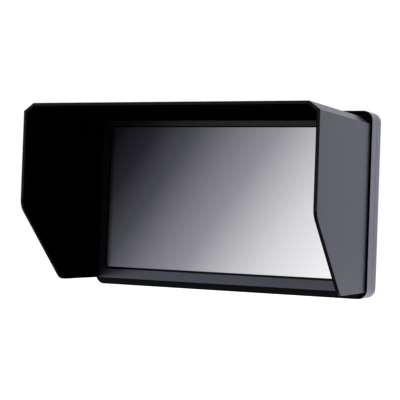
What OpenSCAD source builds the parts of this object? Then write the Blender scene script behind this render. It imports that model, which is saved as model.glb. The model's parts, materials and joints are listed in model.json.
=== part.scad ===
// Camera field monitor with a three-sided sun hood that slides off upwards.
// X runs to the viewer's right, Y from the screen to the back, Z up.
// The origin is the mouth of the tripod thread, in the middle of the bottom face.

/* [Display] */
// Width of the lit area
active_w = 134.8; // [122:0.2:148]
// Height of the lit area
active_h = 74.9; // [67.5:0.1:82.5]
// Thickness of the adhesive tape behind the frame
tape_t = 0.25; // [0.1:0.05:0.3]
// Width of the adhesive tape
tape_w = 1.5; // [1:0.1:1.7]
// Thickness of the cover glass
glass_t = 1.1; // [0.7:0.1:1.1]
// Overlap of the cover glass behind the frame
glass_lap = 2; // [1.8:0.1:2.1]
// Thickness of the liquid crystal panel
panel_t = 1.4; // [1:0.1:1.4]
// Thickness of the backlight
light_t = 2.4; // [1.8:0.1:2.4]
// Sheet thickness of the display's metal tray
tray_t = 0.6; // [0.5:0.1:0.7]

/* [Case] */
// Depth of the case, from the screen frame's front to the back face
body_d = 20; // [19.6:0.1:24]
// Radius of the four corners seen from the front
corner_r = 4.8; // [3.5:0.1:6]
// Radius of the rounded edge round the back
rear_r = 3; // [2:0.1:3.2]
// Wall of both shells
wall = 2; // [1.8:0.1:2.4]
// Depth of the seam between the two shells, from the screen frame's front
seam_d = 11; // [10.6:0.1:11.2]
// Width of the fine groove along the seam
seam_gap = 0.3; // [0.2:0.05:0.4]
// Depth of the fine groove along the seam
seam_cut = 0.4; // [0.2:0.05:0.6]

/* [Screen frame] */
// Width of the side bars, from the lit area to the frame's outer edge
bar_side = 5.8; // [5.6:0.1:8]
// Height of the upper bar, from the lit area to the frame's top
bar_top = 4.2; // [4:0.1:6]
// Height of the lower bar with its bevel
bar_low = 9; // [8.6:0.1:11]
// How far the screen frame stands in front of the case's lip
step_d = 3.2; // [2.8:0.1:4]
// Width of the lip beside the screen frame
lip_side = 2.6; // [2:0.1:3.2]
// Width of the lip above the screen frame
lip_top = 4.3; // [3.8:0.1:5]
// Height of the slanted bevel under the screen
bevel_h = 3.6; // [2.4:0.1:4]
// Small bevel round the sides and top of the screen frame
edge_bevel = 0.8; // [0.3:0.1:1]
// Thickness of the frame in front of the glass
face_t = 0.8; // [0.6:0.1:1]
// Thickness of the lip round the screen frame
lip_t = 1.2; // [1:0.1:1.4]
// Margin between the lit area and the frame's opening, at the sides
mask_side = 1.2; // [0.6:0.1:1.6]
// Margin between the lit area and the frame's opening, above and below
mask_top = 0.65; // [0.4:0.05:1]

/* [Sun hood] */
// Length of the hood in front of the screen frame
hood_len = 73; // [50:0.5:90]
// Wall of the hood
hood_wall = 1.4; // [1.2:0.1:1.8]
// How much wider each side of the hood is at its front edge
hood_flare = 1.1; // [0:0.1:2]
// Width of the hood's top corner chamfers
hood_cham_x = 5.3; // [4:0.1:6]
// Height of the hood's top corner chamfers
hood_cham_z = 3.9; // [3:0.1:5]
// Height of the hood's lower edge above the case's bottom
hood_z = 3.4; // [3:0.1:5]
// Height of the bend in the side walls' front edge
bend_z = 39.5; // [25:0.5:55]
// Length of the side walls' lower edge in front of the screen frame
foot_len = 35.5; // [15:0.5:45]
// Rounding of the side walls' two front bends
bend_r = 8; // [4:0.5:10]
// Thickness of the dark lining in the hood
lining_t = 0.4; // [0.3:0.05:0.6]
// Distance from the hood's front edge to the lining
lining_back = 0.3; // [0.2:0.1:2]
// Width of the hood's sliding ribs
rib_w = 1.2; // [1:0.1:1.3]
// Depth of the hood's sliding ribs
rib_d = 0.9; // [0.6:0.05:0.9]
// Running clearance between the hood and the screen frame
hood_gap = 0.1; // [0.06:0.01:0.15]

/* [Tripod socket] */
// Radius of the tapped hole for a quarter inch camera screw
thread_r = 2.6; // [2.4:0.05:3]
// Depth of the tapped hole
thread_len = 7.5; // [6:0.5:8]
// Width of the metal block where it shows in the bottom
block_w = 22; // [18:1:26]
// Depth of the metal block where it shows in the bottom
block_d = 9.6; // [9:0.1:10]
// Height of the metal block
block_h = 9; // [8.6:0.1:9.2]
// Flange of the metal block inside the case
block_flange = 4; // [2:0.5:6]
// Distance of the two locating holes from the tapped hole
pin_x = 7.5; // [6:0.5:8]
// Radius of the locating holes
pin_r = 1.6; // [1.4:0.1:1.8]
// Depth of the locating holes
pin_len = 4; // [3:0.5:5]

/* [Controls] */
// Width of a button's cap
button_w = 8; // [6:0.5:9]
// Depth of a button's cap
button_d = 4; // [3:0.1:4.2]
// Height of a button's cap above the case
button_up = 0.9; // [0.7:0.1:1.4]
// Travel of the buttons
button_travel = 0.5; // [0.3:0.05:0.6]
// Gap between a button and its hole
button_gap = 0.15; // [0.1:0.05:0.25]
// Distance of the power button from the case's left side
power_in = 15.8; // [14.8:0.2:17]
// Distance of the first function button from the case's left side
first_in = 37.8; // [36:0.2:39]
// Distance from one function button to the next
button_pitch = 12; // [11:0.5:13]
// Distance of the exit button from the case's left side
exit_in = 79.8; // [76:0.2:82]
// Distance of the menu wheel from the case's right side
wheel_in = 40; // [30:0.5:42]
// Radius of the menu wheel
wheel_r = 6; // [5:0.1:6.2]
// Width of the menu wheel
wheel_w = 3.6; // [3:0.1:3.8]
// Height of the menu wheel's rim above the case
wheel_up = 1.3; // [0.8:0.1:1.5]
// Radius of the menu wheel's shaft
shaft_r = 1.5; // [1.2:0.1:1.8]

/* [Electronics] */
// Thickness of the main board
board_t = 1.6; // [1.2:0.1:1.6]
// Width of the main chip
chip_w = 18; // [14:1:20]
// Thickness of the main chip
chip_t = 1.2; // [1:0.1:1.4]
// Width of the heat sink
sink_w = 26; // [22:1:28]
// Height of the heat sink's fins above the chip
sink_h = 3.4; // [2.6:0.1:3.6]
// Radius of the headphone socket's bore
phone_r = 1.8; // [1.75:0.05:1.9]
// Radius of the power socket's bore
dc_r = 2.1; // [1.9:0.05:2.2]
// Radius of the power socket's centre pin
dc_pin_r = 0.65; // [0.5:0.05:0.8]

/* [Battery plate] */
// Width of the battery plate
plate_w = 44; // [42:0.5:48]
// Distance of the battery plate from the case's top and bottom
plate_in = 9; // [8.6:0.1:12]
// Thickness of the battery plate
plate_t = 3; // [2.6:0.1:3.4]
// Depth of the plate's seat in the back
plate_seat = 1; // [0.6:0.1:1.2]
// Height of the hook rails above the plate
rail_h = 3.6; // [3:0.1:4]
// Thickness of the hook rails
rail_t = 2.4; // [2:0.1:3]
// Overhang of the hooks
hook_lap = 1.8; // [1:0.1:2.2]
// Travel of the battery release, downwards
release_travel = 3; // [2:0.1:3.2]
// Gap round the battery release
release_gap = 0.2; // [0.15:0.05:0.3]

/* [Hidden] */

eps = 0.01;
curve_fn = 48;
small_fn = 24;
fit = 0.1;

// Overall size of the case.
body_w = active_w + 2 * (bar_side + lip_side);
body_h = bar_low + active_h + bar_top + lip_top;

// Planes along Y: the tripod thread's axis lies at zero.
block_in = 4.1;
thread_d = step_d + block_in + block_d / 2;
y_front = -thread_d;
y_lip = y_front + step_d;
y_seam = y_front + seam_d;
y_back = y_front + body_d;
y_inner = y_back - wall;

// Screen frame outline.
frame_x = body_w / 2 - lip_side;
frame_top = body_h - lip_top;
open_x = active_w / 2 + mask_side;
open_z0 = bar_low - mask_top;
open_z1 = bar_low + active_h + mask_top;

// Display stack, front to back.
glass_x = open_x + glass_lap;
glass_z0 = open_z0 - glass_lap;
glass_z1 = open_z1 + glass_lap;
y_tape = y_front + face_t;
y_glass = y_tape + tape_t;
y_panel = y_glass + glass_t;
y_light = y_panel + panel_t;
y_tray = y_light + light_t;
y_tray_back = y_tray + tray_t;
panel_inset = 0.6;

// Main board, with its back just behind the seam.
y_board_back = y_seam + fit;
y_board = y_board_back - board_t;
flex_t = 0.25;
flex_z = glass_z0 - 0.6;
flex_x0 = block_w / 2 + block_flange + 2;
flex_w = 10;
flex_x1 = flex_x0 + flex_w;

// Sockets on the left side, seated on the main board's back, their mouths a little inside the wall.
mouth_in = 0.6;
socket_x = mouth_in - body_w / 2;
socket_len = 11;
shell_t = 0.4;
shell_back = 1;
hdmi_z = 15;
hdmi_y = 5.4;
hdmi_tongue_t = 1.2;
hdmi_tongue_side = 2;
hdmi_tongue_in = 1.2;
usb_w = 9;
usb_y = 3.3;
usb_tongue_t = 0.7;
usb_tongue_side = 1.4;
usb_tongue_in = 1;
jack_y = 6;
jack_back = 1;
dc_len = 9;
dc_pin_in = 1.2;

// Top wall and the parts under it.
top_in = body_h - wall;
button_y = (y_seam + y_back - rear_r) / 2;
cap_step = 0.3;
cap_r = 0.85;
flange_t = 0.8;
flange_out = 0.9;
flange_lap = 0.35;
flange_r = 1;
stem_w = 3;
stem_d = 2;
stem_len = 1.6;
switch_w = 4;
switch_d = 3.2;
switch_h = 1.3;
switch_gap = 0.05;
plunger_h = 0.4;
plunger_r = 0.9;
board2_t = 1;
board2_side = 7;
board2_in = 0.6;
board2_back = 0.2;
z_flange = top_in - fit - flange_t;
z_stem = z_flange - stem_len;
z_switch = z_stem - button_travel - switch_gap;
z_board2_top = z_switch - switch_h;
z_board2 = z_board2_top - board2_t;
board2_y0 = y_seam + board2_in;
shelf_h = 3;
shelf_t = 2;
wheel_gap = 0.35;
wheel_x = body_w / 2 - wheel_in;
wheel_z = body_h + wheel_up - wheel_r;
wheel_teeth = 30;
notch_w = 0.5;
notch_d = 0.35;
shaft_out = 0.4;
shaft_end = 0.7;
encoder_w = 11;
encoder_low = 5;
encoder_gap = 0.3;
encoder_end = 0.4;
led_r = 1;
led_up = 0.15;
led_pitch = 8.5;
power_x = power_in - body_w / 2;
first_x = first_in - body_w / 2;
exit_x = exit_in - body_w / 2;
button_xs = [power_x, first_x, first_x + button_pitch, first_x + 2 * button_pitch, exit_x];
led_x = power_x + led_pitch;
board2_x0 = power_x - board2_side;
board2_x1 = exit_x + board2_side;
flex2_w = 6;
flex2_lap = 6;
flex2_end = 2;

// Extent of the main board, and the sockets spread evenly along its left edge.
board_x0 = -(body_w / 2 - wall - 0.6);
board_x1 = 0.58 * body_w / 2;
board_z0 = block_h + 1.6;
board_z1 = z_board2 - shelf_h - 0.2;
plug_h = 3.8;
plug_t = 1.4;
plug_side = 1.5;
plug_up = 5.6;
plug_z0 = board_z0 + plug_up;
socket_gap = (board_z1 - 0.8 - board_z0 - 2 * hdmi_z - usb_w - 2 * jack_y) / 4;
dc_z = board_z0 + jack_y / 2;
phone_z = dc_z + jack_y + socket_gap;
usb_z = phone_z + jack_y / 2 + socket_gap + usb_w / 2;
out_z = usb_z + usb_w / 2 + socket_gap + hdmi_z / 2;
in_z = out_z + hdmi_z + socket_gap;
board_mid_z = (board_z0 + board_z1) / 2;
sink_x = -(sink_w / 2 + 6);
sink_base = 1;
fin_t = 1.1;
fin_count = 8;
fin_pitch = (sink_w - fin_t) / (fin_count - 1);

// Battery plate.
plate_z0 = plate_in;
plate_z1 = body_h - plate_in;
plate_h = plate_z1 - plate_z0;
rail_len = 16;
rail_at = [0.14, 0.56];
rail_in = 3.2;
hook_t = 1.3;
y_plate = y_back - plate_seat;
y_plate_top = y_plate + plate_t;

// Battery release: a sliding cap with a flange under the plate's skin and a foot on a coil spring.
release_w = 16;
release_h = 7;
release_lap = 0.9;
release_in = 3.4;
release_z1 = plate_z1 - release_in;
release_z0 = release_z1 - release_h;
release_out = 2;
skin_t = 1;
release_flange = 1;
foot_w = 6;
well_wall = 1;
well_d = 4.6;
well_gap = 0.3;
y_well = y_plate - well_d;
spring_len = 9;
spring_r = 1.6;
wire_r = 0.25;
well_z0 = release_z0 - spring_len;
well_z1 = release_z1 + well_gap;
contact_pitch = 6;
contact_xs = [-contact_pitch, 0, contact_pitch];
contact_block_w = 22;
contact_block_h = 5;
contact_block_y = 4;
contact_block_in = 1;
contact_z = plate_z0 + contact_block_in + contact_block_h / 2;
contact_w = 1.2;
contact_t = 0.5;
blade_t = 0.7;
blade_len = 6.5;
blade_out = 2;
blade_y = y_plate_top + blade_out;
vent_w = 22;
vent_h = 1.6;
vent_pitch = 4.5;
vent_count = 9;
vent_gap = 9;
vent_x = plate_w / 2 + vent_gap + vent_w / 2;
standoff_r = 2.2;

// Hood outline at its rear end and at its front edge.
hood_in_x = frame_x + hood_gap;
hood_in_top = frame_top + hood_gap;
hood_rear = y_lip - hood_gap;
hood_front = y_front - hood_len;
hood_skirt = 5;
lining_gap = 0.05;
lining_rear = 0.3;
rib_in = 0.9;
rib_y = y_front + rib_in;
rib_z0 = bevel_h + 2.4;
rib_z1 = frame_top - hood_cham_z - 4;
rib_root = 0.3;
hood_x = hood_in_x + hood_wall;
hood_top = hood_in_top + hood_wall;

// How fast the two legs of the hood's chamfer shrink as its outline is drawn further in.
cham_l = norm([hood_cham_x, hood_cham_z]);
shrink_x = 1 - (cham_l - hood_cham_x) / hood_cham_z;
shrink_z = 1 - (cham_l - hood_cham_z) / hood_cham_x;

// Screws: head radius, head thickness, shank radius, shank length.
case_screw = [1.9, 1.5, 1.15, 12];
tray_screw = [1.5, 0.9, 0.75, 2.3];
board_screw = [1.8, 1, 0.85, 3.6];
plate_screw = [1.9, 1.3, 0.85, 4];
thread_gap = 0.05;
head_gap = 0.2;
case_sink = 0.3;
plate_sink = 0.2;
case_post_r = 2;
tray_post_r = 1.9;
plate_post_r = 2.2;
case_screw_x = body_w / 2 - corner_r;
tray_screw_x = body_w / 4;
tray_ear_w = 8;
tray_ear_gap = 0.2;
tray_ear_lap = 2;
case_screw_in = 1.9;
tray_screw_in = 1.8;
board_screw_in = 4;
board_screw_side = 6;
plate_screw_in = 4;
plate_screw_side = 4.4;
recess = [1.2, 1.1, 0.28];
y_case_seat = y_back - case_sink - case_screw[1];
y_plate_seat = y_plate_top - plate_sink - plate_screw[1];
case_screws = [
    for (x = [-case_screw_x, case_screw_x], z = [wall + case_screw_in, top_in - case_screw_in]) [x, z]
];
tray_screws_at = [
    for (x = [-tray_screw_x, tray_screw_x], z = [wall + tray_screw_in, top_in - tray_screw_in]) [x, z]
];
board_screws_at = [
    for (x = [board_x0 + socket_len + board_screw_side, board_x1 - board_screw_side],
         z = [board_z0 + board_screw_in, board_z1 - board_screw_in]) [x, z]
];
plate_screws_at = [
    for (x = [-1, 1], z = [plate_z0 + plate_screw_in, plate_z1 - plate_screw_in])
        [x * (plate_w / 2 - plate_screw_side), z]
];

// A rounded rectangle in X and Z, centred in X, from z0 to z1, with exact arcs.
module rrect(w, z0, z1, r) {
    translate([-w / 2 + r, z0]) square([w - 2 * r, z1 - z0]);
    translate([-w / 2, z0 + r]) square([w, z1 - z0 - 2 * r]);
    for (x = [-1, 1], z = [z0 + r, z1 - r])
        translate([x * (w / 2 - r), z]) circle(r, $fn = curve_fn);
}

// Extrudes an outline drawn in X and Z from depth y0 to depth y1.
module slab(y0, y1) {
    translate([0, y1, 0]) rotate([90, 0, 0]) linear_extrude(y1 - y0) children();
}

// A box from one corner to the opposite one.
module block(a, b) {
    translate(a) cube(b - a);
}

// A rod along Y.
module rod_y(x, z, y0, y1, r, fn = small_fn) {
    translate([x, y1, z]) rotate([90, 0, 0]) cylinder(y1 - y0, r, r, $fn = fn);
}

// A rod along X.
module rod_x(x0, x1, y, z, r, fn = small_fn) {
    translate([x0, y, z]) rotate([0, 90, 0]) cylinder(x1 - x0, r, r, $fn = fn);
}

// A rounded rectangle in X and Y, extruded from z0 to z1.
module pill(x, y, w, d, z0, z1, r) {
    translate([x, y, z0]) linear_extrude(z1 - z0) {
        square([w - 2 * r, d], center = true);
        square([w, d - 2 * r], center = true);
        for (a = [-1, 1], b = [-1, 1])
            translate([a * (w / 2 - r), b * (d / 2 - r)]) circle(r, $fn = small_fn);
    }
}

// A cross-head screw along Y: its head sits on y_seat, and its shank runs towards the front.
module screw_y(p, y_seat, spec) {
    difference() {
        union() {
            rod_y(p[0], p[1], y_seat, y_seat + spec[1], spec[0]);
            rod_y(p[0], p[1], y_seat - spec[3], y_seat + eps, spec[2]);
        }
        for (a = [0, 90])
            translate([p[0], y_seat + spec[1], p[1]]) rotate([0, a, 0])
                cube([spec[0] * recess[0], spec[1] * recess[1], spec[0] * recess[2]], center = true);
    }
}

// The hood's outline in X and Z, drawn in by inset and widened by flare.
module hood_section(inset, flare) {
    half_w = hood_x + flare - inset;
    top = hood_top - inset;
    cx = hood_cham_x - inset * shrink_x;
    cz = hood_cham_z - inset * shrink_z;
    polygon([
        [-half_w + cx, top], [half_w - cx, top], [half_w, top - cz],
        [half_w, -hood_skirt], [-half_w, -hood_skirt], [-half_w, top - cz]
    ]);
}

// The screen frame's outline, with its top corners cut to pass inside the hood.
module frame_outline() {
    intersection() {
        rrect(2 * frame_x, 0, body_h, corner_r);
        hood_section(hood_wall + hood_gap, 0);
    }
}

// The raised screen frame, with its slanted lower bevel and its small edge bevels.
module raised_frame() {
    difference() {
        slab(y_front, y_lip + eps) frame_outline();
        translate([-body_w / 2, 0, 0]) rotate([90, 0, 90]) linear_extrude(body_w) polygon([
            [y_front - 1, -1], [y_lip, -1], [y_lip, 0], [y_front, bevel_h], [y_front - 1, bevel_h]
        ]);
        translate([-body_w / 2, y_front, frame_top]) rotate([90, 0, 90]) linear_extrude(body_w) polygon([
            [-1, -edge_bevel - 1], [edge_bevel + 1, 1], [-1, 1]
        ]);
        for (s = [-1, 1])
            translate([s * frame_x, y_front, 0]) linear_extrude(body_h) polygon([
                [-s * (edge_bevel + 1), -1], [s, edge_bevel + 1], [s, -1]
            ]);
    }
}

module side_groove(s) {
    block(
        [s > 0 ? frame_x - rib_d - hood_gap : -frame_x - 1, rib_y - hood_gap, rib_z0 - 1],
        [s > 0 ? frame_x + 1 : -frame_x + rib_d + hood_gap, rib_y + rib_w + hood_gap, body_h + 1]
    );
}

// The openings for the sockets in the left side wall, drawn through both shells.
module socket_cuts() {
    x0 = -body_w / 2 - 1;
    x1 = -body_w / 2 + wall + 1;
    for (z = [in_z, out_z])
        block([x0, y_board_back - fit, z - hdmi_z / 2 - fit],
              [x1, y_board_back + hdmi_y + fit, z + hdmi_z / 2 + fit]);
    block([x0, y_board_back - fit, usb_z - usb_w / 2 - fit],
          [x1, y_board_back + usb_y + fit, usb_z + usb_w / 2 + fit]);
    for (z = [phone_z, dc_z])
        block([x0, y_board_back - fit, z - jack_y / 2 - fit],
              [x1, y_board_back + jack_y + fit, z + jack_y / 2 + fit]);
}

module front_bezel() {
    color([0.06, 0.06, 0.07]) difference() {
        union() {
            slab(y_lip, y_seam) rrect(body_w, 0, body_h, corner_r);
            raised_frame();
        }
        // Room for the display behind the lip.
        difference() {
            slab(y_lip + lip_t, y_seam + 1) rrect(body_w - 2 * wall, wall, top_in, corner_r - wall);
            for (p = case_screws) rod_y(p[0], p[1], y_lip, y_seam + 1, case_post_r);
            for (p = tray_screws_at) rod_y(p[0], p[1], y_lip, y_tray, tray_post_r);
        }
        // Seat of the glass behind the frame, the ribbon's recess, and the frame's opening.
        block([-glass_x - fit, y_tape, glass_z0 - fit], [glass_x + fit, y_lip + lip_t + eps, glass_z1 + fit]);
        block([flex_x0 - 1, y_glass, flex_z - 0.6], [flex_x1 + 1, y_lip + lip_t + eps, glass_z0]);
        block([-open_x, y_front - 1, open_z0], [open_x, y_tape + 1, open_z1]);
        for (p = case_screws)
            rod_y(p[0], p[1], y_case_seat - case_screw[3] - head_gap, y_seam + 1, case_screw[2] + thread_gap);
        for (p = tray_screws_at)
            rod_y(p[0], p[1], y_tray_back - tray_screw[3] - head_gap, y_tray + 1, tray_screw[2] + thread_gap);
        for (s = [-1, 1]) side_groove(s);
        socket_cuts();
        tripod_pocket();
        seam_groove(y_seam - seam_gap / 2);
    }
}

// A fine groove round the outside of the case.
module seam_groove(y0) {
    difference() {
        slab(y0, y0 + seam_gap) translate([0, -1]) square([body_w + 2, 2 * body_h + 4], center = true);
        slab(y0 - 1, y0 + seam_gap + 1)
            rrect(body_w - 2 * seam_cut, seam_cut, body_h - seam_cut, corner_r - seam_cut);
    }
}

// The cut in both bottom walls that the tripod block stands in.
module tripod_pocket() {
    block([-block_w / 2 - fit, -block_d / 2 - fit, -1], [block_w / 2 + fit, block_d / 2 + fit, wall + 1]);
}

module tripod_socket() {
    color([0.62, 0.62, 0.64]) difference() {
        union() {
            block([-block_w / 2, -block_d / 2, 0], [block_w / 2, block_d / 2, wall + eps]);
            block([-block_w / 2 - block_flange, -block_d / 2, wall],
                  [block_w / 2 + block_flange, block_d / 2, block_h]);
        }
        translate([0, 0, -1]) cylinder(thread_len + 1, thread_r, thread_r, $fn = curve_fn);
        for (s = [-1, 1])
            translate([s * pin_x, 0, -1]) cylinder(pin_len + 1, pin_r, pin_r, $fn = curve_fn);
    }
}

// A post at one corner of the back, rounded at its rear edge.
module corner_post(x, z) {
    translate([x, y_seam, z]) rotate([-90, 0, 0]) rotate_extrude($fn = 40) {
        square([corner_r, y_back - y_seam - rear_r]);
        square([corner_r - rear_r, y_back - y_seam]);
        translate([corner_r - rear_r, y_back - y_seam - rear_r]) intersection() {
            circle(rear_r, $fn = 32);
            square(rear_r);
        }
    }
}

module vents() {
    for (s = [-1, 1], k = [0:vent_count - 1])
        translate([s * vent_x, y_back, body_h / 2 + vent_pitch * (k - (vent_count - 1) / 2)])
            rotate([90, 0, 0]) linear_extrude(2 * wall + 2, center = true) {
                square([vent_w, vent_h], center = true);
                for (e = [-1, 1]) translate([e * vent_w / 2, 0]) circle(vent_h / 2, $fn = small_fn);
            }
}

// What stands inside the rear shell: screw posts, shelves, and the walls of the release's well.
module rear_inner_posts() {
    for (p = case_screws) rod_y(p[0], p[1], y_seam, y_back, case_post_r);
    for (p = plate_screws_at) rod_y(p[0], p[1], y_inner - 3, y_back, plate_post_r);
    for (x = [board2_x0, (board2_x0 + board2_x1 - shelf_t) / 2, board2_x1 - shelf_t])
        block([x, button_y, z_board2 - shelf_h], [x + shelf_t, y_back, z_board2]);
    for (s = [-1, 1])
        block([s * (block_w / 2 + block_flange / 2) - 1, y_board_back + 1, block_h],
              [s * (block_w / 2 + block_flange / 2) + 1, y_back, block_h + 4]);
    block([-foot_w / 2 - well_gap - well_wall, y_well - well_wall, well_z0 - well_wall],
          [foot_w / 2 + well_gap + well_wall, y_back, well_z1 + well_wall]);
}

module rear_cover() {
    color([0.07, 0.07, 0.08]) difference() {
        hull() for (x = [-1, 1], z = [corner_r, body_h - corner_r])
            corner_post(x * (body_w / 2 - corner_r), z);
        difference() {
            slab(y_seam - 1, y_inner) rrect(body_w - 2 * wall, wall, top_in, corner_r - wall);
            rear_inner_posts();
        }
        // Seat and well of the battery plate.
        block([-plate_w / 2 - fit, y_plate, plate_z0 - fit], [plate_w / 2 + fit, y_back + 1, plate_z1 + fit]);
        block([-foot_w / 2 - well_gap, y_well, well_z0], [foot_w / 2 + well_gap, y_back + 1, well_z1]);
        for (x = contact_xs)
            block([x - contact_w / 2 - head_gap, y_inner - 1, contact_z - contact_t / 2 - head_gap],
                  [x + contact_w / 2 + head_gap, y_back + 1, contact_z + contact_t / 2 + head_gap]);
        for (p = plate_screws_at)
            rod_y(p[0], p[1], y_plate_seat - plate_screw[3] - head_gap, y_back + 1,
                  plate_screw[2] + thread_gap);
        for (p = case_screws) {
            rod_y(p[0], p[1], y_seam - 1, y_back + 1, case_screw[2] + head_gap);
            rod_y(p[0], p[1], y_case_seat, y_back + 1, case_screw[0] + head_gap);
        }
        for (x = button_xs)
            pill(x, button_y, button_w + 2 * button_gap, button_d + 2 * button_gap,
                 top_in - 1, body_h + 1, cap_r + button_gap);
        translate([led_x, button_y, top_in - 1]) cylinder(wall + 2, led_r + fit, led_r + fit, $fn = small_fn);
        rod_y(wheel_x, wheel_z, button_y - wheel_w / 2 - wheel_gap, button_y + wheel_w / 2 + wheel_gap,
              wheel_r + wheel_gap, curve_fn);
        socket_cuts();
        tripod_pocket();
        vents();
        seam_groove(y_seam - seam_gap / 2);
    }
}

module rear_cover_screws() {
    color([0.25, 0.25, 0.27]) for (p = case_screws) screw_y(p, y_case_seat, case_screw);
}

module glass_tape() {
    color([0.1, 0.1, 0.1]) difference() {
        block([-glass_x, y_tape, glass_z0], [glass_x, y_glass, glass_z1]);
        block([-glass_x + tape_w, y_tape - 1, glass_z0 + tape_w],
              [glass_x - tape_w, y_glass + 1, glass_z1 - tape_w]);
    }
}

module cover_glass() {
    color([0.02, 0.02, 0.03]) block([-glass_x, y_glass, glass_z0], [glass_x, y_panel, glass_z1]);
}

module lcd_panel() {
    color([0.6, 0.6, 0.64])
        block([-glass_x + panel_inset, y_panel, glass_z0 + panel_inset],
              [glass_x - panel_inset, y_light, glass_z1 - panel_inset]);
}

module backlight_unit() {
    color([0.9, 0.9, 0.88])
        block([-glass_x + 2 * panel_inset, y_light, glass_z0 + 2 * panel_inset],
              [glass_x - 2 * panel_inset, y_tray, glass_z1 - 2 * panel_inset]);
}

module display_tray() {
    side_in = glass_x - panel_inset;
    color([0.7, 0.7, 0.72]) difference() {
        union() {
            block([-side_in, y_tray, glass_z0 + panel_inset], [side_in, y_tray_back, glass_z1 - panel_inset]);
            for (s = [-1, 1])
                block([s > 0 ? side_in - tray_t : -side_in, y_light + 0.2, glass_z0 + panel_inset],
                      [s > 0 ? side_in : -side_in + tray_t, y_tray_back, glass_z1 - panel_inset]);
            for (x = [-1, 1]) {
                block([x * tray_screw_x - tray_ear_w / 2, y_tray, wall + tray_ear_gap],
                      [x * tray_screw_x + tray_ear_w / 2, y_tray_back, glass_z0 + tray_ear_lap]);
                block([x * tray_screw_x - tray_ear_w / 2, y_tray, glass_z1 - tray_ear_lap],
                      [x * tray_screw_x + tray_ear_w / 2, y_tray_back, top_in - tray_ear_gap]);
            }
        }
        for (p = tray_screws_at)
            rod_y(p[0], p[1], y_tray - 1, y_tray_back + 1, tray_screw[2] + head_gap);
    }
}

module tray_screws() {
    color([0.55, 0.55, 0.57]) for (p = tray_screws_at) screw_y(p, y_tray_back, tray_screw);
}

// A flat ribbon: a strip of constant thickness through points in Y and Z, extruded along X.
module ribbon(x0, x1, points, t) {
    for (k = [0:len(points) - 2]) {
        a = points[k];
        b = points[k + 1];
        block([x0, min(a[0], b[0]) - t / 2, min(a[1], b[1]) - t / 2],
              [x1, max(a[0], b[0]) + t / 2, max(a[1], b[1]) + t / 2]);
    }
}

module display_flex() {
    y_panel_mid = y_panel + panel_t / 2;
    y_plug_mid = y_board - plug_t / 2;
    color([0.75, 0.5, 0.2]) ribbon(flex_x0, flex_x1, [
        [y_panel_mid, glass_z0 + panel_inset - flex_t / 2],
        [y_panel_mid, flex_z],
        [y_plug_mid, flex_z],
        [y_plug_mid, plug_z0 - flex_t / 2]
    ], flex_t);
}

module display_connector() {
    color([0.9, 0.88, 0.8])
        block([flex_x0 - plug_side, y_board - plug_t, plug_z0],
              [flex_x1 + plug_side, y_board, plug_z0 + plug_h]);
}

module main_board() {
    color([0.05, 0.25, 0.12]) difference() {
        block([board_x0, y_board, board_z0], [board_x1, y_board_back, board_z1]);
        for (p = board_screws_at)
            rod_y(p[0], p[1], y_board - 1, y_board_back + 1, board_screw[2] + head_gap);
    }
}

module board_standoffs() {
    color([0.72, 0.6, 0.3]) for (p = board_screws_at) difference() {
        rod_y(p[0], p[1], y_tray_back, y_board, standoff_r);
        rod_y(p[0], p[1], y_board_back - board_screw[3] - head_gap, y_board + 1, board_screw[2] + thread_gap);
    }
}

module board_screws() {
    color([0.6, 0.6, 0.62]) for (p = board_screws_at) screw_y(p, y_board_back, board_screw);
}

module processor() {
    color([0.12, 0.12, 0.13])
        block([sink_x - chip_w / 2, y_board_back, board_mid_z - chip_w / 2],
              [sink_x + chip_w / 2, y_board_back + chip_t, board_mid_z + chip_w / 2]);
}

module heat_sink() {
    y0 = y_board_back + chip_t;
    x0 = sink_x - sink_w / 2;
    z0 = board_mid_z - sink_w / 2;
    color([0.6, 0.62, 0.65]) {
        block([x0, y0, z0], [x0 + sink_w, y0 + sink_base, z0 + sink_w]);
        for (k = [0:fin_count - 1])
            block([x0 + k * fin_pitch, y0, z0], [x0 + k * fin_pitch + fin_t, y0 + sink_h, z0 + sink_w]);
    }
}

// A rectangular socket shell on the main board, open towards the left side.
module socket_shell(z, w, y_size) {
    difference() {
        block([socket_x, y_board_back, z - w / 2], [socket_x + socket_len, y_board_back + y_size, z + w / 2]);
        block([socket_x - 1, y_board_back + shell_t, z - w / 2 + shell_t],
              [socket_x + socket_len - shell_back, y_board_back + y_size - shell_t, z + w / 2 - shell_t]);
    }
}

module hdmi_in_socket() {
    color([0.75, 0.75, 0.77]) socket_shell(in_z, hdmi_z, hdmi_y);
}

module hdmi_out_socket() {
    color([0.75, 0.75, 0.77]) socket_shell(out_z, hdmi_z, hdmi_y);
}

module hdmi_tongues() {
    color([0.1, 0.1, 0.1]) for (z = [in_z, out_z])
        block([socket_x + hdmi_tongue_in, y_board_back + (hdmi_y - hdmi_tongue_t) / 2,
               z - hdmi_z / 2 + hdmi_tongue_side],
              [socket_x + socket_len - shell_back, y_board_back + (hdmi_y + hdmi_tongue_t) / 2,
               z + hdmi_z / 2 - hdmi_tongue_side]);
}

module usb_socket() {
    color([0.75, 0.75, 0.77]) socket_shell(usb_z, usb_w, usb_y);
}

module usb_tongue() {
    color([0.1, 0.1, 0.1])
        block([socket_x + usb_tongue_in, y_board_back + (usb_y - usb_tongue_t) / 2,
               usb_z - usb_w / 2 + usb_tongue_side],
              [socket_x + socket_len - shell_back, y_board_back + (usb_y + usb_tongue_t) / 2,
               usb_z + usb_w / 2 - usb_tongue_side]);
}

// A round jack in a square housing.
module jack(z, r, len) {
    difference() {
        block([socket_x, y_board_back, z - jack_y / 2],
              [socket_x + len + jack_back, y_board_back + jack_y, z + jack_y / 2]);
        rod_x(socket_x - 1, socket_x + len, y_board_back + jack_y / 2, z, r, curve_fn);
    }
}

module headphone_socket() {
    color([0.1, 0.1, 0.1]) jack(phone_z, phone_r, socket_len);
}

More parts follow.
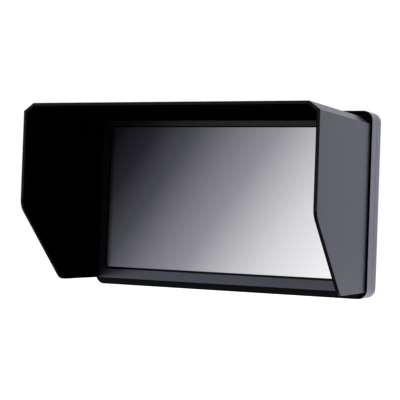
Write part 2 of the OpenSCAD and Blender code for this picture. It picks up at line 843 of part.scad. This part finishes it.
module dc_in_socket() {
    color([0.12, 0.12, 0.12]) jack(dc_z, dc_r, dc_len);
}

module dc_in_pin() {
    color([0.8, 0.8, 0.82])
        rod_x(socket_x + dc_pin_in, socket_x + dc_len, y_board_back + jack_y / 2, dc_z, dc_pin_r);
}

module button_board() {
    color([0.05, 0.25, 0.12])
        block([board2_x0, board2_y0, z_board2], [board2_x1, y_inner - board2_back, z_board2_top]);
}

module tact_switches() {
    color([0.75, 0.75, 0.75]) for (x = button_xs) {
        block([x - switch_w / 2, button_y - switch_d / 2, z_board2_top],
              [x + switch_w / 2, button_y + switch_d / 2, z_switch - plunger_h]);
        translate([x, button_y, z_switch - plunger_h - eps])
            cylinder(plunger_h + eps, plunger_r, plunger_r, $fn = small_fn);
    }
}

module button_flex() {
    color([0.75, 0.5, 0.2]) ribbon(exit_x - flex2_w, exit_x, [
        [y_board_back + flex_t / 2, board_z1 - flex2_lap],
        [y_board_back + flex_t / 2, z_board2 - flex_t / 2],
        [board2_y0 + flex2_end, z_board2 - flex_t / 2]
    ], flex_t);
}

module power_led() {
    color([0.85, 0.9, 0.95])
        translate([led_x, button_y, z_board2_top])
            cylinder(body_h + led_up - z_board2_top, led_r, led_r, $fn = small_fn);
}

// A button cap with its retaining flange and stem.
module button(x) {
    color([0.1, 0.1, 0.11]) {
        pill(x, button_y, button_w, button_d,
             z_flange + flange_t - eps, body_h + button_up - cap_step, cap_r);
        pill(x, button_y, button_w - 2 * cap_step, button_d - 2 * cap_step,
             body_h + button_up - cap_step - eps, body_h + button_up, cap_r - cap_step / 2);
        pill(x, button_y, button_w + 2 * flange_out, button_d + 2 * (button_gap + flange_lap),
             z_flange, z_flange + flange_t, flange_r);
        block([x - stem_w / 2, button_y - stem_d / 2, z_stem],
              [x + stem_w / 2, button_y + stem_d / 2, z_flange + eps]);
    }
}

module power_button() { button(power_x); }
module f1_button() { button(first_x); }
module f2_button() { button(first_x + button_pitch); }
module f3_button() { button(first_x + 2 * button_pitch); }
module exit_button() { button(exit_x); }

module menu_wheel() {
    color([0.16, 0.16, 0.17]) difference() {
        rod_y(wheel_x, wheel_z, button_y - wheel_w / 2, button_y + wheel_w / 2, wheel_r, 60);
        for (k = [0:wheel_teeth - 1])
            translate([wheel_x, 0, wheel_z]) rotate([0, k * 360 / wheel_teeth, 0])
                translate([wheel_r, button_y, 0]) cube([2 * notch_d, wheel_w + 1, notch_w], center = true);
        rod_y(wheel_x, wheel_z, button_y - wheel_w, button_y + wheel_w, shaft_r);
    }
}

module wheel_shaft() {
    color([0.7, 0.7, 0.72])
        rod_y(wheel_x, wheel_z, button_y - wheel_w / 2 - shaft_out, y_inner - shaft_end, shaft_r);
}

module wheel_encoder() {
    y0 = button_y + wheel_w / 2 + encoder_gap;
    color([0.2, 0.35, 0.3]) difference() {
        block([wheel_x - encoder_w / 2, y0, wheel_z - encoder_low],
              [wheel_x + encoder_w / 2, y_inner, top_in - encoder_gap]);
        rod_y(wheel_x, wheel_z, y0 - 1, y_inner - encoder_end, shaft_r + thread_gap);
    }
}

// One L-shaped hook rail beside the battery.
module hook_rail(s, z0, z1) {
    x_in = plate_w / 2 - rail_in;
    block([s > 0 ? x_in : -x_in - rail_t, y_plate_top - eps, z0],
          [s > 0 ? x_in + rail_t : -x_in, y_plate_top + rail_h, z1]);
    block([s > 0 ? x_in - hook_lap : -x_in - rail_t, y_plate_top + rail_h - hook_t, z0],
          [s > 0 ? x_in + rail_t : -x_in + hook_lap, y_plate_top + rail_h, z1]);
}

module battery_plate() {
    color([0.1, 0.1, 0.11]) difference() {
        union() {
            block([-plate_w / 2, y_plate, plate_z0], [plate_w / 2, y_plate_top, plate_z1]);
            for (s = [-1, 1], k = rail_at)
                hook_rail(s, plate_z0 + k * plate_h, plate_z0 + k * plate_h + rail_len);
            block([-contact_block_w / 2, y_plate_top - eps, plate_z0 + contact_block_in],
                  [contact_block_w / 2, y_plate_top + contact_block_y,
                   plate_z0 + contact_block_in + contact_block_h]);
        }
        // Slot for the release's cap, and room for its flange under the plate's skin.
        block([-release_w / 2 - release_gap, y_plate - 1, release_z0 - release_travel - release_gap],
              [release_w / 2 + release_gap, y_plate_top + 1, release_z1 + release_gap]);
        block([-release_w / 2 - release_lap - release_gap, y_plate - 1,
               release_z0 - 2 * release_travel - release_lap - release_gap],
              [release_w / 2 + release_lap + release_gap, y_plate_top - skin_t,
               release_z1 + release_lap + release_gap]);
        for (x = contact_xs) {
            block([x - contact_w / 2 - fit, y_plate - 1, contact_z - contact_t / 2 - fit],
                  [x + contact_w / 2 + fit, blade_y + blade_t + fit, contact_z + contact_t / 2 + fit]);
            block([x - contact_w / 2 - fit, blade_y - fit, contact_z],
                  [x + contact_w / 2 + fit, blade_y + blade_t + fit, contact_z + blade_len + 1]);
        }
        for (p = plate_screws_at) {
            rod_y(p[0], p[1], y_plate - 1, y_plate_top + 1, plate_screw[2] + head_gap);
            rod_y(p[0], p[1], y_plate_seat, y_plate_top + 1, plate_screw[0] + head_gap);
        }
    }
}

module plate_screws() {
    color([0.25, 0.25, 0.27]) for (p = plate_screws_at) screw_y(p, y_plate_seat, plate_screw);
}

module battery_contacts() {
    color([0.85, 0.68, 0.3]) for (x = contact_xs) {
        block([x - contact_w / 2, y_board_back, contact_z - contact_t / 2],
              [x + contact_w / 2, blade_y + blade_t, contact_z + contact_t / 2]);
        block([x - contact_w / 2, blade_y, contact_z - contact_t / 2],
              [x + contact_w / 2, blade_y + blade_t, contact_z + blade_len]);
    }
}

module battery_release() {
    y_skin = y_plate_top - skin_t - fit;
    color([0.16, 0.16, 0.17]) {
        block([-release_w / 2, y_skin - eps, release_z0],
              [release_w / 2, y_plate_top + release_out, release_z1]);
        block([-release_w / 2 - release_lap, y_skin - release_flange,
               release_z0 - release_travel - release_lap],
              [release_w / 2 + release_lap, y_skin, release_z1 + release_lap]);
        block([-foot_w / 2, y_well + well_gap, release_z0], [foot_w / 2, y_skin, release_z1]);
    }
}

// A coil spring between the floor of the well and the release's foot.
module release_spring() {
    turns = 5;
    rings = 14;
    sides = 6;
    count = turns * rings;
    y_axis = (y_well + y_plate) / 2;
    z0 = well_z0 + wire_r;
    z1 = release_z0 - wire_r;
    points = [for (k = [0:count], j = [0:sides - 1])
        let (a = 360 * k / rings, b = 360 * j / sides, r = spring_r + wire_r * cos(b))
            [r * cos(a), y_axis + r * sin(a), z0 + (z1 - z0) * k / count + wire_r * sin(b)]];
    walls = [for (k = [0:count - 1], j = [0:sides - 1])
        let (a = k * sides + j, b = k * sides + (j + 1) % sides)
            each [[a, b, a + sides], [b, b + sides, a + sides]]];
    ends = [[for (j = [sides - 1:-1:0]) j], [for (j = [0:sides - 1]) count * sides + j]];
    color([0.75, 0.75, 0.77]) polyhedron(points, concat(walls, ends));
}

// How much wider each side of the hood is at the depth y.
function flare_at(y) = hood_flare * (hood_rear - y) / (hood_rear - hood_front);

// A tapered block from depth y0 to y1 whose sides are drawn in by inset.
module hood_core(inset, y0, y1) {
    hull() for (y = [y0, y1])
        slab(y - eps / 2, y + eps / 2) hood_section(inset, flare_at(y));
}

// Points along an arc about p, from angle a0 to a1.
function arc_points(p, a0, a1, r) =
    [for (k = [0:8]) let (a = a0 + (a1 - a0) * k / 8) [p[0] + r * cos(a), p[1] + r * sin(a)]];

// What is kept of the hood seen from the side, in Y and Z, with both front bends rounded.
module hood_side(front) {
    slope = atan2(bend_z - hood_z, hood_len - foot_len);
    turn = 90 - slope;
    polygon(concat(
        [[hood_rear, hood_z], [hood_rear, body_h], [front, body_h]],
        arc_points([front + bend_r, bend_z + bend_r * tan(turn / 2)], 180, 180 + turn, bend_r),
        arc_points([y_front - foot_len + bend_r * tan(slope / 2), hood_z + bend_r], 270 - slope, 270, bend_r)
    ));
}

// The same outline extruded across the whole hood.
module hood_keep(front, z) {
    translate([-body_w, 0, z]) rotate([90, 0, 90]) linear_extrude(2 * body_w) hood_side(front);
}

module hood_shell() {
    color([0.22, 0.22, 0.24]) {
        intersection() {
            difference() {
                hood_core(0, hood_front, hood_rear);
                hood_core(hood_wall, hood_front - 1, hood_rear + 1);
            }
            hood_keep(hood_front, 0);
        }
        for (s = [-1, 1])
            block([s > 0 ? hood_in_x - rib_d : -hood_in_x - rib_root, rib_y, rib_z0],
                  [s > 0 ? hood_in_x + rib_root : -hood_in_x + rib_d, rib_y + rib_w, rib_z1]);
    }
}

module hood_lining() {
    color([0.02, 0.02, 0.02]) intersection() {
        difference() {
            hood_core(hood_wall + lining_gap, hood_front + lining_back, y_front - lining_rear);
            hood_core(hood_wall + lining_gap + lining_t, hood_front, y_front + 1);
        }
        hood_keep(hood_front + lining_back, lining_back);
    }
}

front_bezel();
rear_cover();
tripod_socket();
rear_cover_screws();
glass_tape();
cover_glass();
lcd_panel();
backlight_unit();
display_tray();
tray_screws();
display_flex();
main_board();
board_standoffs();
board_screws();
processor();
heat_sink();
display_connector();
hdmi_in_socket();
hdmi_out_socket();
hdmi_tongues();
usb_socket();
usb_tongue();
headphone_socket();
dc_in_socket();
dc_in_pin();
button_board();
tact_switches();
button_flex();
power_led();
power_button();
f1_button();
f2_button();
f3_button();
exit_button();
menu_wheel();
wheel_shaft();
wheel_encoder();
battery_plate();
plate_screws();
battery_contacts();
battery_release();
release_spring();
hood_shell();
hood_lining();
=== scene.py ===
"""Looks, camera and studio for the camera field monitor with its slide-on sun hood."""

import json
import math

import bmesh
import bpy
from mathutils import Matrix, Vector


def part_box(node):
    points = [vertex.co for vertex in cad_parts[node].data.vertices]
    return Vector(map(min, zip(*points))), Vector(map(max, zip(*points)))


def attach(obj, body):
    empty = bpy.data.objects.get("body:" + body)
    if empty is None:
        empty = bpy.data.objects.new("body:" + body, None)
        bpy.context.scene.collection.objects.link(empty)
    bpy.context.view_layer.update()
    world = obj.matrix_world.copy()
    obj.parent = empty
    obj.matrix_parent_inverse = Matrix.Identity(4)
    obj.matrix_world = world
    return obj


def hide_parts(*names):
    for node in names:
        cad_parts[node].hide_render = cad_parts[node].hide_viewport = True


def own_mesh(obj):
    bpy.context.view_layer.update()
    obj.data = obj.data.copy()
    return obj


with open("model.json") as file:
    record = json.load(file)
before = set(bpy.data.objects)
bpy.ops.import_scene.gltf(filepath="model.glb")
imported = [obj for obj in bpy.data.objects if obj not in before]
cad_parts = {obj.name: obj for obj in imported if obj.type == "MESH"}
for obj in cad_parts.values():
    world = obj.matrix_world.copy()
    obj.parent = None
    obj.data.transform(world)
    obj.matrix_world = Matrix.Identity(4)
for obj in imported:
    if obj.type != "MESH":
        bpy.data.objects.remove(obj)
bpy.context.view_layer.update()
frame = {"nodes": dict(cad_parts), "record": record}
NODES = frame["nodes"]
BEHAVIOUR = frame["record"]["behaviour"]
KEYS = ("power_button", "f1_button", "f2_button", "f3_button", "exit_button")
MM = 0.001
WHITE = (1.0, 1.0, 1.0)
BLACK = (0.0, 0.0, 0.0)
scene = bpy.context.scene

# Places that the finishes follow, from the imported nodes. The case's lip stands behind the screen frame.
LIP_STEP = 3.2 * MM
FRAME_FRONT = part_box("front_bezel")[0][1]
LIP_Y = FRAME_FRONT + LIP_STEP
GLASS_LOW, GLASS_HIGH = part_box("cover_glass")

# The glass goes GLASS_LAP under the frame. The picture ends short of the frame's opening by the masks,
# and at its left side it fades in from the opening's edge, a painted shade next to the hood's wall.
GLASS_LAP = 2.0 * MM
MASK_SIDE = 1.2 * MM
MASK_LOW = 1.15 * MM
MASK_HIGH = 0.60 * MM
PAINTED_SHADE_FADE = 3.2 * MM

# Most values of a noise lie between these two.
NOISE_LOW = 0.3
NOISE_HIGH = 0.7

# Noise scales, per metre, and how many times longer than wide a scratch is.
CLOUDS = 55.0
POLISH = 140.0
SMEARS = 30.0
FIBRES = 4200.0
SCREEN_CELLS = 9000.0
SCRATCHES = 1.0 / (6.0 * MM)
SCRATCH_STRETCH = 14.0


# Materials: a small helper, then one maker for each kind of finish.
class Graph:
    """Adds and links the shader nodes of one material, or of the world."""

    def __init__(self, owner, shader="Principled BSDF"):
        owner.use_nodes = True
        self.owner = owner
        self.tree = owner.node_tree
        self.shader = self.tree.nodes[shader]

    def feed(self, socket, value):
        if isinstance(value, bpy.types.NodeSocket):
            self.tree.links.new(value, socket)
        else:
            socket.default_value = value

    def put(self, socket, value):
        self.feed(self.shader.inputs[socket], value)

    def add(self, kind, inputs=None, **values):
        node = self.tree.nodes.new(kind)
        for key, value in values.items():
            setattr(node, key, value)
        for key, value in (inputs or {}).items():
            self.feed(node.inputs[key], value)
        return node

    def coords(self):
        return self.add("ShaderNodeTexCoord").outputs["Object"]

    def along(self, axis):
        return self.add("ShaderNodeSeparateXYZ", {"Vector": self.coords()}).outputs[axis]

    def noise(self, scale, detail=3.0, rough=0.55, vector=None):
        place = vector or self.coords()
        inputs = {"Vector": place, "Scale": scale, "Detail": detail, "Roughness": rough}
        return self.add("ShaderNodeTexNoise", inputs).outputs["Fac"]

    def remap(self, value, low, high, lo_in=0.0, hi_in=1.0):
        inputs = {"Value": value, "From Min": lo_in, "From Max": hi_in, "To Min": low, "To Max": high}
        return self.add("ShaderNodeMapRange", inputs).outputs["Result"]

    def from_noise(self, noise, low=0.0, high=1.0):
        return self.remap(noise, low, high, NOISE_LOW, NOISE_HIGH)

    def mix(self, factor, a, b):
        node = self.add("ShaderNodeMix", {"Factor": factor}, data_type="RGBA")
        colors = [s for s in node.inputs if s.type == "RGBA"]
        self.feed(colors[0], a)
        self.feed(colors[1], b)
        return [s for s in node.outputs if s.type == "RGBA"][0]

    def math(self, op, a, b):
        node = self.add("ShaderNodeMath", operation=op)
        self.feed(node.inputs[0], a)
        self.feed(node.inputs[1], b)
        return node.outputs[0]

    def bump(self, height, strength, distance):
        inputs = {"Height": height, "Strength": strength, "Distance": distance}
        return self.add("ShaderNodeBump", inputs).outputs["Normal"]


def rgb(color, k=1.0):
    """A colour with its alpha, made k times as bright."""
    return (*(min(1.0, c * k) for c in color), 1.0)


def moulded(name, color, rough, grain=0.35, depth=0.02, level=0.5, wear=0.15, spread=0.02, tint=WHITE):
    """Plastic, rubber, film or lacquer: a grain, faint clouding and uneven polish. Grain and depth in mm."""
    g = Graph(bpy.data.materials.new(name))
    cloud = g.from_noise(g.noise(CLOUDS, detail=4.0))
    erosion = g.noise(1.0 / (grain * MM), detail=2.0, rough=0.6)
    g.put("Base Color", g.mix(cloud, rgb(color, 1.0 - wear), rgb(color, 1.0 + wear)))
    g.put("Roughness", g.from_noise(g.noise(POLISH), rough - spread, rough + spread))
    g.put("Normal", g.bump(erosion, strength=0.5, distance=depth * MM))
    g.put("Specular IOR Level", level)
    g.put("Specular Tint", rgb(tint))
    return g.owner


def metal(name, color, rough):
    """Metal with fine scratches that lie level."""
    g = Graph(bpy.data.materials.new(name))
    stretched = g.add("ShaderNodeMapping", {"Vector": g.coords(), "Scale": (1.0, 1.0, SCRATCH_STRETCH)})
    lines = g.noise(SCRATCHES, vector=stretched.outputs["Vector"])
    g.put("Base Color", g.mix(g.from_noise(lines), rgb(color, k=0.88), rgb(color, k=1.06)))
    g.put("Roughness", g.from_noise(lines, rough - 0.06, rough + 0.08))
    g.put("Normal", g.bump(lines, strength=0.2, distance=0.01 * MM))
    g.put("Metallic", 1.0)
    return g.owner


def felt(name, color):
    """Short black flock that swallows light."""
    g = Graph(bpy.data.materials.new(name))
    fibre = g.noise(FIBRES, detail=2.0, rough=0.7)
    g.put("Base Color", g.mix(g.from_noise(fibre), rgb(color, k=0.5), rgb(color, k=1.6)))
    g.put("Roughness", 1.0)
    g.put("Specular IOR Level", 0.0)
    g.put("Normal", g.bump(fibre, strength=0.8, distance=0.08 * MM))
    return g.owner


# The screen's picture: how far the gradient runs from left to right, and from the top to the foot.
# Only faces whose normal has a Y below GLASS_FRONT are lit.
ACROSS = 0.742
AT_TOP = -0.028
AT_FOOT = 0.264
GLASS_FRONT = -0.9

# Places along the gradient, each with its grey. Middle greys lean a little to blue.
SHADES = ((0.0, 0.0040), (0.12, 0.018), (0.25, 0.066), (0.5, 0.268), (0.75, 0.675), (1.0, 0.945))
BLUE_LEAN = 0.10
BLUE_CURVE = 0.7


def gradient(g, place):
    """The picture's colour at a place between 0 at its dark corner and 1 at its bright one."""
    ramp = g.add("ShaderNodeValToRGB", {"Fac": place})
    elements = ramp.color_ramp.elements
    while len(elements) < len(SHADES):
        elements.new(0.5)
    for element, (position, grey) in zip(elements, SHADES):
        blue = grey + BLUE_LEAN * grey ** BLUE_CURVE * (1.0 - grey)
        element.position = position
        element.color = (grey, grey, blue, 1.0)
    return ramp.outputs["Color"]


def screen(name):
    """The lit display under its cover glass: a smooth gradient that rises to the lower right."""
    g = Graph(bpy.data.materials.new(name))
    edge = GLASS_LOW[0] + GLASS_LAP
    left = edge + MASK_SIDE
    right = GLASS_HIGH[0] - GLASS_LAP - MASK_SIDE
    low = GLASS_LOW[2] + GLASS_LAP + MASK_LOW
    high = GLASS_HIGH[2] - GLASS_LAP - MASK_HIGH
    across = g.remap(g.along("X"), 0.0, ACROSS, left, right)
    down = g.remap(g.along("Z"), AT_FOOT, AT_TOP, low, high)
    normal = g.add("ShaderNodeNewGeometry").outputs["Normal"]
    facing = g.add("ShaderNodeSeparateXYZ", {"Vector": normal}).outputs["Y"]
    lit = g.math("LESS_THAN", facing, GLASS_FRONT)
    for axis, start, end in (("X", edge, right), ("Z", low, high)):
        lit = g.math("MULTIPLY", lit, g.math("GREATER_THAN", g.along(axis), start))
        lit = g.math("MULTIPLY", lit, g.math("LESS_THAN", g.along(axis), end))
    # The picture's left side fades in from the opening's edge: painted shade next to the hood's wall.
    lit = g.math("MULTIPLY", lit, g.remap(g.along("X"), 0.0, 1.0, edge, edge + PAINTED_SHADE_FADE))
    cells = g.from_noise(g.noise(SCREEN_CELLS, detail=1.0), 0.98, 1.02)
    g.put("Base Color", rgb((0.0012, 0.0012, 0.0015)))
    g.put("Roughness", g.from_noise(g.noise(SMEARS), 0.06, 0.09))
    g.put("Specular IOR Level", 0.12)
    g.put("Emission Color", gradient(g, g.math("ADD", across, down)))
    g.put("Emission Strength", g.math("MULTIPLY", lit, cells))
    return g.owner


# The finishes. FINE is the smoother mould of the parts that the photograph shows.
FINE = {"grain": 0.3, "depth": 0.006, "wear": 0.04, "spread": 0.006}
SHEEN = (0.80, 0.82, 1.0)
FRAME_SHEEN = (0.84, 0.87, 1.0)
# The case's slate is lighter than the frame's black face of the same plastic: painted light for its lit
# sides.
M_LIT_CASE = moulded("lit_case_plastic", (0.054, 0.0545, 0.070), 0.34, level=0.62, tint=SHEEN, **FINE)
M_FRAME = moulded("frame_plastic", (0.004, 0.004, 0.006), 0.30, level=0.98, tint=FRAME_SHEEN, **FINE)
# A darker, duller copy of the same black plastic for steps, bevels and the hood's inside: painted shade.
M_SHADED_STEP = moulded("shaded_step_plastic", (0.0014, 0.0014, 0.0020), 0.45, level=0.02, **FINE)
# The hood's walls are a lighter slate copy of its black plastic: painted light.
M_LIT_HOOD = moulded("lit_hood_plastic", (0.027, 0.027, 0.037), 0.34, level=0.2, tint=SHEEN, **FINE)
# The hood's front edges are a darker copy of the same plastic: painted shade.
M_SHADED_RIM = moulded("shaded_rim_plastic", (0.004, 0.004, 0.0045), 0.45, level=0.10, **FINE)
M_PLATE = moulded("plate_plastic", (0.020, 0.020, 0.022), 0.5, grain=0.5, depth=0.03)
M_BUTTON = moulded("button_plastic", (0.032, 0.032, 0.036), 0.38, grain=0.3)
M_RUBBER = moulded("wheel_rubber", (0.026, 0.026, 0.028), 0.62, grain=0.4)
M_GLOSS = moulded("socket_plastic", (0.010, 0.010, 0.010), 0.22, grain=1.0, depth=0.004)
M_TAPE = moulded("foam_tape", (0.003, 0.003, 0.003), 0.95, grain=0.6, depth=0.06, level=0.1)
M_CHIP = moulded("chip_plastic", (0.03, 0.03, 0.03), 0.55)
M_IVORY = moulded("plug_plastic", (0.72, 0.69, 0.60), 0.45)
M_PCB = moulded("board_lacquer", (0.010, 0.085, 0.030), 0.28, grain=1.2, depth=0.01)
M_FILM = moulded("amber_film", (0.52, 0.25, 0.05), 0.3, grain=2.0, depth=0.004)
M_DIFFUSER = moulded("white_diffuser", (0.80, 0.80, 0.78), 0.5)
M_PANEL = moulded("panel_film", (0.12, 0.12, 0.13), 0.12, grain=2.0, depth=0.002)
M_PIPE = moulded("light_pipe", (0.62, 0.68, 0.74), 0.15, grain=2.0, depth=0.004)
M_STEEL = metal("bright_steel", (0.58, 0.58, 0.60), 0.3)
M_NICKEL = metal("nickel", (0.64, 0.63, 0.61), 0.24)
M_ALU = metal("anodised", (0.50, 0.50, 0.52), 0.36)
M_DARK = metal("black_oxide", (0.07, 0.07, 0.075), 0.38)
M_BRASS = metal("brass", (0.72, 0.55, 0.26), 0.3)
M_GOLD = metal("gold_plate", (0.86, 0.64, 0.26), 0.2)
M_FLOCK = felt("black_flock", (0.0009, 0.0009, 0.0010))
M_SCREEN = screen("display_glass")

# Each finish with the nodes that have it.
FINISHES = (
    (M_LIT_CASE, ("front_bezel", "rear_cover")),
    (M_LIT_HOOD, ("hood_shell",)),
    (M_FLOCK, ("hood_lining",)),
    (M_SCREEN, ("cover_glass",)),
    (M_TAPE, ("glass_tape",)),
    (M_PANEL, ("lcd_panel",)),
    (M_DIFFUSER, ("backlight_unit",)),
    (M_PCB, ("main_board", "button_board")),
    (M_FILM, ("display_flex", "button_flex")),
    (M_CHIP, ("processor", "wheel_encoder")),
    (M_IVORY, ("display_connector",)),
    (M_NICKEL, ("hdmi_in_socket", "hdmi_out_socket", "usb_socket", "dc_in_pin")),
    (M_GLOSS, ("hdmi_tongues", "usb_tongue", "headphone_socket", "dc_in_socket")),
    (M_BUTTON, (*KEYS, "battery_release")),
    (M_PIPE, ("power_led",)),
    (M_RUBBER, ("menu_wheel",)),
    (M_PLATE, ("battery_plate",)),
    (M_GOLD, ("battery_contacts",)),
    (M_BRASS, ("board_standoffs",)),
    (M_ALU, ("tripod_socket", "heat_sink")),
    (M_DARK, ("rear_cover_screws", "plate_screws")),
    (M_STEEL, ("display_tray", "tray_screws", "board_screws", "tact_switches")),
    (M_STEEL, ("wheel_shaft", "release_spring")),
)
LOOKS = {name: mat for mat, names in FINISHES for name in names}


def paint(obj, mat):
    materials = obj.data.materials
    if not materials:
        materials.append(mat)
    for k in range(len(materials)):
        materials[k] = mat


for name, node in NODES.items():
    paint(node, LOOKS[name])

# Pieces that stand for CAD nodes: the same shapes with rounded edges, and a copy of the spring.
BODY_OF = {name: body for body, names in BEHAVIOUR["bodies"].items() for name in names}
MERGE = 0.002 * MM
FLAT_ANGLE = math.radians(0.6)
EDGE_ANGLE = math.radians(28.0)
SHADE_ANGLE = math.radians(35.0)

# How near to a plane a face lies, and how squarely, or slantwise, it faces a way.
NEAR = 0.05 * MM
FACING = 0.95
SLANTED = 0.35


def frame_finish(centre, normal):
    """The case's outside in a lighter copy of the plastic (painted light), the screen frame's front in its
    own black, or a darker dull copy on the steps and bevels between them (painted shade).
    """
    if centre.y > LIP_Y + NEAR:
        return M_LIT_CASE
    if centre.y < FRAME_FRONT + NEAR and normal.y < -FACING:
        return M_FRAME
    return M_SHADED_STEP


def hood_finish(centre, normal):
    """The hood's outer walls in a lighter copy of its plastic (painted light), its front edges in a darker
    copy, and its inside and lower edges in the darkest copy (painted shade).
    """
    if normal.z < -SLANTED or normal.x * centre.x < 0.0:
        return M_SHADED_STEP
    return M_SHADED_RIM if normal.y < -SLANTED else M_LIT_HOOD


def stand_in(name, mesh):
    """Shows a mesh in place of a CAD node, on the node's body."""
    obj = bpy.data.objects.new(name + "_dressed", mesh)
    scene.collection.objects.link(obj)
    for face in mesh.polygons:
        face.use_smooth = True
    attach(obj, BODY_OF[name])
    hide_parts(name)
    return obj


def softened(name, width, segments=2, finish=None):
    """Stands for a CAD node with the same shape, its hard edges rounded and a finish for each face."""
    bm = bmesh.new()
    bm.from_mesh(NODES[name].data)
    bmesh.ops.remove_doubles(bm, verts=bm.verts, dist=MERGE)
    bmesh.ops.dissolve_limit(bm, angle_limit=FLAT_ANGLE, verts=bm.verts, edges=bm.edges)
    hard = [e for e in bm.edges if len(e.link_faces) == 2 and e.calc_face_angle() > EDGE_ANGLE]
    bmesh.ops.bevel(
        bm, geom=hard, offset=width, offset_type="OFFSET", segments=segments, profile=0.5,
        affect="EDGES", clamp_overlap=True, miter_outer="SHARP",
    )
    mesh = bpy.data.meshes.new(name + "_dressed")
    bm.to_mesh(mesh)
    bm.free()
    for face in mesh.polygons:
        mat = finish(face.center, face.normal) if finish else LOOKS[name]
        if mat.name not in mesh.materials:
            mesh.materials.append(mat)
        face.material_index = mesh.materials.find(mat.name)
    obj = stand_in(name, mesh)
    mesh.set_sharp_from_angle(angle=SHADE_ANGLE)
    weighted = obj.modifiers.new("weighted", "WEIGHTED_NORMAL")
    weighted.keep_sharp = True


def pressed_spring(name):
    """The coil spring under the battery release, a copy of its node's mesh shown in the node's place."""
    obj = stand_in(name, NODES[name].data.copy())
    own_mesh(obj)


softened("hood_shell", width=0.12 * MM, segments=3, finish=hood_finish)
softened("front_bezel", width=0.12 * MM, finish=frame_finish)
softened("rear_cover", width=0.16 * MM)
softened("battery_plate", width=0.22 * MM)
softened("battery_release", width=0.45 * MM, segments=3)
for key in KEYS:
    softened(key, width=0.12 * MM)
pressed_spring("release_spring")

# Camera at the photograph's viewing angle. Its place is in metres, its turns in degrees, its lens in mm.
CAMERA_PLACE = (0.25480, -0.58814, 0.03630)
CAMERA_YAW = 25.0286
CAMERA_PITCH = 0.9003
CAMERA_ROLL = 2.0444
CAMERA_LENS = 110.824
CAMERA_SENSOR = 36.0
CAMERA_NEAR = 0.01


def place_camera():
    data = bpy.data.cameras.new("camera")
    data.sensor_fit = "HORIZONTAL"
    data.sensor_width = CAMERA_SENSOR
    data.lens = CAMERA_LENS
    data.clip_start = CAMERA_NEAR
    camera = bpy.data.objects.new("camera", data)
    scene.collection.objects.link(camera)
    yaw = Matrix.Rotation(math.radians(CAMERA_YAW), 4, "Z")
    pitch = Matrix.Rotation(math.radians(90.0 + CAMERA_PITCH), 4, "X")
    roll = Matrix.Rotation(math.radians(CAMERA_ROLL), 4, "Z")
    camera.matrix_world = Matrix.Translation(CAMERA_PLACE) @ yaw @ pitch @ roll
    scene.camera = camera


place_camera()

# Studio, in metres: white paper all round, three softboxes, and a grey card behind the camera that only
# reflections see. The floor lies below the case, because the photograph shows no ground near it.
FLOOR_Z = -0.055
FLOOR_HALF = 12.0
PAPER_SHADE = 0.62
PAPER_LIFT = 0.95
WORLD_FILL = 0.12
COOL_SKY = (0.90, 0.915, 1.0)
COOL_PAPER = (0.66, 0.68, 0.76)
CARD_LEVEL = 0.25
CARD_LEFT = -2.2
CARD_RIGHT = 2.0
CARD_Y = -1.3
CARD_TOP = 1.6


def seen_directly(g):
    """One for camera, glossy and transmission rays, else zero."""
    rays = g.add("ShaderNodeLightPath").outputs
    seen = g.math("MAXIMUM", rays["Is Camera Ray"], rays["Is Glossy Ray"])
    return g.math("MAXIMUM", seen, rays["Is Transmission Ray"])


def white_to_camera(g, socket, color):
    """Feeds a socket with white for camera rays and with a colour for all others."""
    camera_ray = g.add("ShaderNodeLightPath").outputs["Is Camera Ray"]
    g.put(socket, g.mix(camera_ray, rgb(color), rgb(WHITE)))


def matte(name, color):
    """A material without shine, for what stands around the object."""
    g = Graph(bpy.data.materials.new(name))
    g.put("Base Color", rgb(color))
    g.put("Roughness", 1.0)
    g.put("Specular IOR Level", 0.0)
    return g


def sheet(name, corners, mat):
    """A four-cornered sheet that belongs to the studio."""
    mesh = bpy.data.meshes.new(name)
    mesh.from_pydata(corners, [], [(0, 1, 2, 3)])
    mesh.materials.append(mat)
    obj = bpy.data.objects.new(name, mesh)
    scene.collection.objects.link(obj)
    return obj


def softbox(name, place, aim, size, power, color=WHITE):
    """A rectangular lamp that lights the object but doesn't show in its reflections."""
    data = bpy.data.lights.new(name, "AREA")
    data.shape = "RECTANGLE"
    data.size, data.size_y = size
    data.energy = power
    data.color = color
    obj = bpy.data.objects.new(name, data)
    scene.collection.objects.link(obj)
    turn = (Vector(aim) - Vector(place)).to_track_quat("-Z", "Y")
    obj.matrix_world = Matrix.Translation(place) @ turn.to_matrix().to_4x4()
    obj.visible_glossy = False


def paper_floor():
    g = matte("paper_floor", (PAPER_SHADE, PAPER_SHADE, PAPER_SHADE))
    white_to_camera(g, "Emission Color", COOL_PAPER)
    g.put("Emission Strength", g.remap(seen_directly(g), 0.0, PAPER_LIFT))
    signs = ((-1, -1), (1, -1), (1, 1), (-1, 1))
    sheet("floor", [(x * FLOOR_HALF, y * FLOOR_HALF, FLOOR_Z) for x, y in signs], g.owner)


def bright_world():
    scene.world = bpy.data.worlds.new("studio")
    g = Graph(scene.world, "Background")
    white_to_camera(g, "Color", COOL_SKY)
    g.put("Strength", g.remap(seen_directly(g), WORLD_FILL, 1.0))


def grey_card():
    g = matte("grey_cloth", BLACK)
    g.put("Emission Color", rgb(WHITE))
    g.put("Emission Strength", CARD_LEVEL)
    places = ((CARD_LEFT, FLOOR_Z), (CARD_RIGHT, FLOOR_Z), (CARD_RIGHT, CARD_TOP), (CARD_LEFT, CARD_TOP))
    card = sheet("dark_card", [(x, CARD_Y, z) for x, z in places], g.owner)
    card.visible_camera = False
    card.visible_diffuse = False
    card.visible_shadow = False
    card.visible_transmission = False


paper_floor()
bright_world()
softbox("overhead", place=(0.15, 0.10, 0.95), aim=(0.0, -0.02, 0.05), size=(1.1, 0.9), power=8.0)
softbox(
    "right_back", place=(0.85, 0.55, 0.40), aim=(0.0, 0.0, 0.05), size=(0.8, 0.8), power=6.0,
    color=(0.98, 0.98, 1.0),
)
softbox("left_front", place=(-0.75, -0.85, 0.30), aim=(0.0, -0.03, 0.04), size=(0.6, 0.6), power=14.0)
grey_card()

scene.view_settings.view_transform = "Standard"

bpy.context.view_layer.update()
